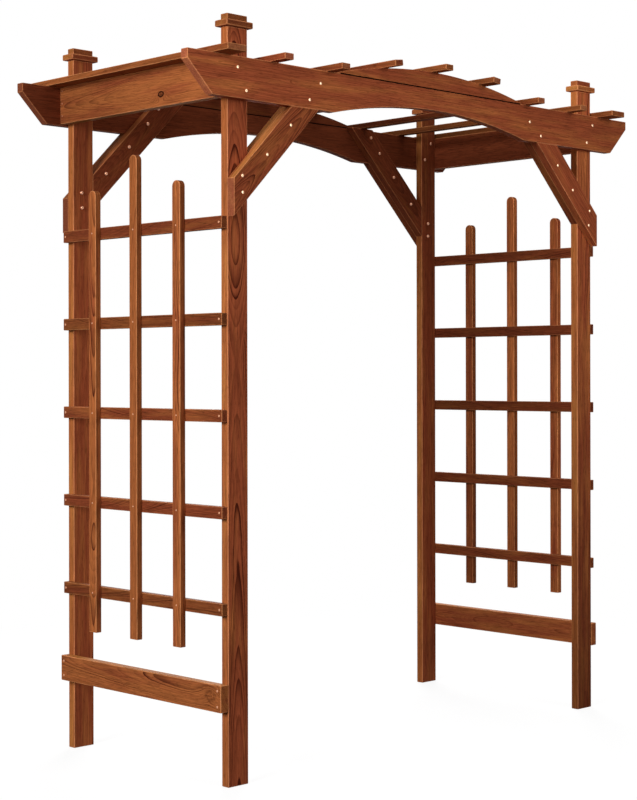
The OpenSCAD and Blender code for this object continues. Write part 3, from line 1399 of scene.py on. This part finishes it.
@dataclass
class Fasteners(SubAssembly):
    """The heads of the screws, bolts and nails that show."""

    slot: str = "zinc_screw"
    bolt: HeadShape = HeadShape(radius_mm=4.4, height_mm=1.9, recess_mm=1.7)
    sleeve_nut: HeadShape = HeadShape(radius_mm=5.2, height_mm=4.2, recess_mm=2.2)
    screw: HeadShape = HeadShape(radius_mm=3.2, height_mm=0.8, recess_mm=1.5)
    nail: HeadShape = HeadShape(radius_mm=2.4, height_mm=0.7, sides=10)
    layout: TrellisLayout = TrellisLayout()
    jig_shift_mm: float = -7.0
    beam_post_mm: tuple[Pair, ...] = ((17.5, -31.0), (-14.5, -92.5))
    brace_width_mm: float = Braces.width_mm
    brace_inset_mm: float = 3.0
    back_lift_mm: float = 9.0
    most_braces: BoltPlaces = BoltPlaces(
        brace_mm=((14.0, -39.0), (6.0, -91.0), (0.0, -171.0), (0.0, -262.0)),
        foot_mm=((1.0, -328.0), (0.0, -374.0)),
    )
    front_right_brace: BoltPlaces = BoltPlaces(
        brace_mm=((-20.0, -53.0), (-3.0, -94.0), (-3.0, -183.0), (3.0, -259.0)),
        foot_mm=((0.0, -323.0), (-5.0, -372.0)),
    )
    fascia_mm: tuple[float, ...] = (-12.0, -50.0, -88.0)
    fascia_edge_mm: float = 9.0
    base_mm: tuple[float, ...] = (-22.0, 22.0)
    masters: dict[HeadShape, bpy.types.Mesh] = field(default_factory=dict)

    def build(self) -> None:
        """Makes every group of heads."""
        for front in Front:
            self._bolts(front)
            self._slat_nails(front)
        for side in Side:
            self._side_screws(side)
            self._picket_nails(side)
        for mesh in self.masters.values():
            bpy.data.meshes.remove(mesh)

    def _master(self, shape: HeadShape) -> bpy.types.Mesh:
        """Models one head at the origin, pointing up, once for each shape.

        Args:
            shape: the head's sizes.

        Returns:
            The mesh to copy.
        """
        if shape in self.masters:
            return self.masters[shape]
        radius, height, recess = (mm * MM for mm in (shape.radius_mm, shape.height_mm, shape.recess_mm))
        clear_selection()
        bpy.ops.mesh.primitive_cylinder_add(vertices=shape.sides, radius=radius, depth=2 * height)
        head = bpy.context.object
        select_where(head, Part.FACE, lambda face: face.normal.z > 0.9)
        bpy.ops.mesh.inset(thickness=radius * shape.dome_inset)
        bpy.ops.transform.translate(value=(0, 0, height * shape.dome_rise))
        if recess:
            bpy.ops.mesh.inset(thickness=radius * (1 - shape.dome_inset) - recess)
            bpy.ops.mesh.inset(thickness=shape.recess_wall_mm * MM)
            bpy.ops.transform.translate(value=(0, 0, -height * shape.recess_depth))
            self._cross(head, shape)
        settle(head)
        bpy.ops.object.shade_smooth_by_angle(angle=HEAD_SHARP)
        mesh = head.data
        mesh.materials.clear()
        bpy.data.objects.remove(head)
        self.masters[shape] = mesh
        return mesh

    def _cross(self, head: Piece, shape: HeadShape) -> None:
        """Pinches the round recess at four places, which makes it a cross.

        Args:
            head: the head.
            shape: its sizes.
        """
        core, rim = 0.1 * MM, (shape.recess_mm + 0.05) * MM

        def between_arms(point: bpy.types.MeshVertex) -> bool:
            """Says whether a point of the recess lies halfway between two arms of the cross."""
            quarter = math.degrees(math.atan2(point.co.y, point.co.x)) % 90
            return core < math.hypot(point.co.x, point.co.y) < rim and abs(quarter - 45) < 1

        select_where(head, Part.POINT, between_arms)
        waist = (shape.cross_waist, shape.cross_waist, 1)
        bpy.ops.transform.resize(value=waist, center_override=(0, 0, 0))

    def _drive(
        self, name: str, shape: HeadShape, finish: Material, places: list[tuple[Vector, Vector]]
    ) -> None:
        """Copies a head to each place and joins the copies into one piece.

        Args:
            name: the piece's name.
            shape: the head's sizes.
            finish: its material.
            places: for each head, the point on the wood and the direction it faces.
        """
        master = self._master(shape)
        heads = []
        for index, (point, facing) in enumerate(places):
            head = bpy.data.objects.new(f"{name}_{index}", master.copy())
            bpy.context.scene.collection.objects.link(head)
            head.rotation_mode = "QUATERNION"
            head.rotation_quaternion = Z.rotation_difference(facing)
            head.location = point
            settle(head)
            heads.append(head)
        pick_up(heads[0])
        for head in heads:
            head.select_set(True)
        bpy.ops.object.join()
        piece = name_new(name)
        piece.data.materials.clear()
        piece.data.materials.append(finish)
        self.keep(piece)

    def _bolt_points(self, front: Front, side: Side) -> list[Pair]:
        """Gives the bolts of one corner in elevation: beam, brace and foot of the brace.

        Args:
            front: the front or the back of the arbor.
            side: the side of the walkway.

        Returns:
            For each bolt, its place across the arbor and its height.
        """
        own = (front, side) == (Front.FRONT, Side.RIGHT)
        places = self.front_right_brace if own else self.most_braces
        lift = self.back_lift_mm * MM if front is Front.BACK else 0.0
        post = abs(middle(f"post_front_{word(side)}").x)
        top = reach("beam_front", 2, 1)
        brace = f"brace_outer_front_{word(side)}"
        outer, foot = abs(reach(brace, 0, side.value)), reach(brace, 2, -1)
        line = outer + foot + (self.brace_width_mm / math.sqrt(2) - self.brace_inset_mm) * MM
        points = [(post + out * MM, top + up * MM) for out, up in self.beam_post_mm]
        points += [(line - top - (up - out) * MM, top + up * MM) for out, up in places.brace_mm]
        points += [(post + out * MM, top + up * MM) for out, up in places.foot_mm]
        return [(side.value * x + self.jig_shift_mm * MM, z + lift) for x, z in points]

    def _bolts(self, front: Front) -> None:
        """Drives the bolts through one beam, its posts and its braces, with a nut behind each.

        Args:
            front: the front or the back of the arbor.
        """
        points = [p for side in Side for p in self._bolt_points(front, side)]
        facing, zinc, dulled = Y * front.value, self.finishes.zinc, self.finishes.dulled_zinc
        outer = reach(f"beam_{word(front)}", 1, front.value)
        inner = reach(f"post_{word(front)}_left", 1, -front.value)
        heads = [(Vector((x, outer, z)), facing) for x, z in points]
        nuts = [(Vector((x, inner, z)), -facing) for x, z in points]
        self._drive(f"bolt_heads_{word(front)}", self.bolt, zinc, heads)
        self._drive(f"sleeve_nuts_{word(front)}", self.sleeve_nut, dulled, nuts)

    def _side_screws(self, side: Side) -> None:
        """Drives the screws of one side into the posts, through fascia, base board and rails.

        Args:
            side: the side of the walkway.
        """
        post = middle(f"post_back_{word(side)}").y
        fascia, base, rails = (f"{part}_{word(side)}" for part in ("fascia", "base_board", "rails"))
        edge = reach(fascia, 1, 1) - self.fascia_edge_mm * MM
        places = [(fascia, edge, reach(fascia, 2, 1) + drop * MM) for drop in self.fascia_mm]
        places += [(base, post, middle(base).z + rise * MM) for rise in self.base_mm]
        places += [(rails, post, level) for level in self._rail_levels(side)]
        screws = [
            (Vector((reach(node, 0, side.value), y * end.value, z)), X * side.value)
            for node, y, z in places
            for end in Front
        ]
        self._drive(f"side_screws_{word(side)}", self.screw, self.finishes.toned_zinc, screws)

    def _rail_levels(self, side: Side) -> list[float]:
        """Gives the height of each rail's middle."""
        half = self.layout.rail_height_mm * MM / 2
        return [foot + half for foot in self.layout.rail_feet(side)]

    def _picket_nails(self, side: Side) -> None:
        """Drives a nail through each crossing of a picket and a rail.

        Args:
            side: the side of the walkway.
        """
        face = reach(f"pickets_{word(side)}", 0, side.value)
        places = [
            (Vector((face, index * self.layout.picket_pitch_mm * MM, level)), X * side.value)
            for index in (-1, 0, 1)
            for level in self._rail_levels(side)
        ]
        self._drive(f"picket_nails_{word(side)}", self.nail, self.finishes.toned_zinc, places)

    def _slat_nails(self, front: Front) -> None:
        """Drives a nail through each slat into the beam or crown under it.

        Args:
            front: the front or the back of the arbor.
        """
        y = middle(f"beam_{word(front)}").y
        places = []
        for index in SLATS:
            x = middle(f"slat_{index}").x
            faces = bpy.data.objects[f"slat_{index}_board"].data.polygons
            planed = (face for face in faces if face.material_index == Surface.PLANED.value)
            top = max(planed, key=lambda face: face.normal.z)
            height = top.center.z - (x - top.center.x) * top.normal.x / top.normal.z
            places.append((Vector((x, y, height)), top.normal.copy()))
        self._drive(f"slat_nails_{word(front)}", self.nail, self.finishes.zinc, places)


# ---- Studio ----


@dataclass(frozen=True)
class SoftBox:
    """A square of soft light that looks at a point on the arbor."""

    name: str
    place: Triple
    target: Triple
    size: float
    watts: float

    def build(self) -> None:
        """Hangs the light."""
        data = bpy.data.lights.new(self.name, "AREA")
        data.shape, data.size, data.energy = "SQUARE", self.size, self.watts
        lamp = bpy.data.objects.new(self.name, data)
        bpy.context.scene.collection.objects.link(lamp)
        lamp.location = self.place
        aim = Vector(self.target) - Vector(self.place)
        lamp.rotation_euler = aim.to_track_quat("-Z", "Y").to_euler()


@dataclass
class Studio:
    """The pale floor, the white surround, the lights and the camera.

    The drop is the camera's shift, as a share of the picture's height.
    """

    lights: tuple[SoftBox, ...] = (
        SoftBox("key_from_left", (-7.0, -1.26, 3.0), (0.0, 0.0, 1.2), 2.8, 395),
        SoftBox("fill_from_front", (0.6, -5.4, 2.3), (0.0, 0.0, 1.2), 2.5, 125),
        SoftBox("fill_from_behind", (3.6, 3.8, 2.8), (0.0, 0.0, 1.2), 2.5, 240),
        SoftBox("overhead", (0.0, 0.0, 5.0), (0.0, 0.0, 2.0), 3.0, 50),
    )
    surround: float = 0.03
    floor_size: float = 16.0
    floor_hex: str = "#3A3A3A"
    shadow: float = 0.16
    floor_light: float = 0.7
    fade_from: float = 1.0
    fade_to: float = 2.6
    stand: Triple = (-3.9473, -3.9313, 1.1387)
    heading_deg: float = 44.263
    roll_deg: float = 0.1
    lens_mm: float = 77.3
    drop: float = 0.031875

    def build(self) -> None:
        """Sets up the studio."""
        self._floor()
        self._surround()
        for light in self.lights:
            light.build()
        self._camera()

    @staticmethod
    def _seen(tree: Tree) -> Socket:
        """Tells looking apart from lighting.

        Args:
            tree: the node tree.

        Returns:
            1 where the camera, a gloss or a clear piece looks, and 0 for light that spreads.
        """
        path = add(tree, "LightPath")
        looks = (path["Is Camera Ray"], path["Is Glossy Ray"])
        bright = add(tree, "Math", *looks, operation="MAXIMUM")[0]
        return add(tree, "Math", bright, path["Is Transmission Ray"], operation="MAXIMUM")[0]

    def _floor(self) -> None:
        """Lays a pale floor that keeps a faint shadow of the arbor and turns white further out."""
        clear_selection()
        bpy.ops.mesh.primitive_plane_add(size=self.floor_size)
        floor = bpy.context.object
        floor.name = "studio_floor"
        material, tree = new_material("studio_floor_paper")
        plain = add(tree, "BsdfDiffuse", linear(self.floor_hex))[0]
        # The paper glows nearly white by itself and the lights add the rest, so a shadow stays faint
        pale = add(tree, "BsdfDiffuse", (self.shadow,) * 3 + (1.0,))[0]
        glow = add(tree, "Emission", WHITE, 1.0 - self.shadow * self.floor_light)[0]
        lit = add(tree, "AddShader", pale, glow)[0]
        white = add(tree, "Emission", WHITE, 1.0)[0]
        place = add(tree, "TexCoord")["Object"]
        far = add(tree, "VectorMath", place, operation="LENGTH")["Value"]
        ends = (self.fade_from, self.fade_to)
        fade = add(tree, "MapRange", far, *ends, interpolation_type="SMOOTHSTEP")[0]
        faded = add(tree, "MixShader", fade, lit, white)[0]
        add(tree, "OutputMaterial", add(tree, "MixShader", self._seen(tree), plain, faded)[0])
        floor.data.materials.append(material)

    def _surround(self) -> None:
        """Fills the world with soft light, and shows it as white."""
        world = bpy.data.worlds.new("studio")
        bpy.context.scene.world = world
        world.use_nodes = True
        tree = world.node_tree
        tree.nodes.clear()
        soft = add(tree, "Background", WHITE, self.surround)[0]
        white = add(tree, "Background", WHITE, 1.0)[0]
        add(tree, "OutputWorld", add(tree, "MixShader", self._seen(tree), soft, white)[0])

    def _camera(self) -> None:
        """Stands the camera at eye height off the front left corner."""
        data = bpy.data.cameras.new("camera")
        data.lens, data.shift_y = self.lens_mm, -self.drop
        camera = bpy.data.objects.new("camera", data)
        bpy.context.scene.collection.objects.link(camera)
        camera.location = self.stand
        turn = (90.0, self.roll_deg, -self.heading_deg)
        camera.rotation_euler = tuple(math.radians(a) for a in turn)
        bpy.context.scene.camera = camera


def main() -> None:
    """Builds the arbor, then the studio round it."""
    logging.basicConfig(level=logging.INFO, format="%(name)s: %(message)s")
    bpy.context.scene.view_settings.view_transform = "Standard"
    finishes = Finishes.build()
    numbers = itertools.count()
    boards = (Posts, PostCaps, Beams, Crowns, Braces, SideBoards, TopSlats, SideTrellis)
    for part in (*boards, Fasteners):
        part(finishes, numbers).build()
    Studio().build()


if __name__ == "__main__":
    main()
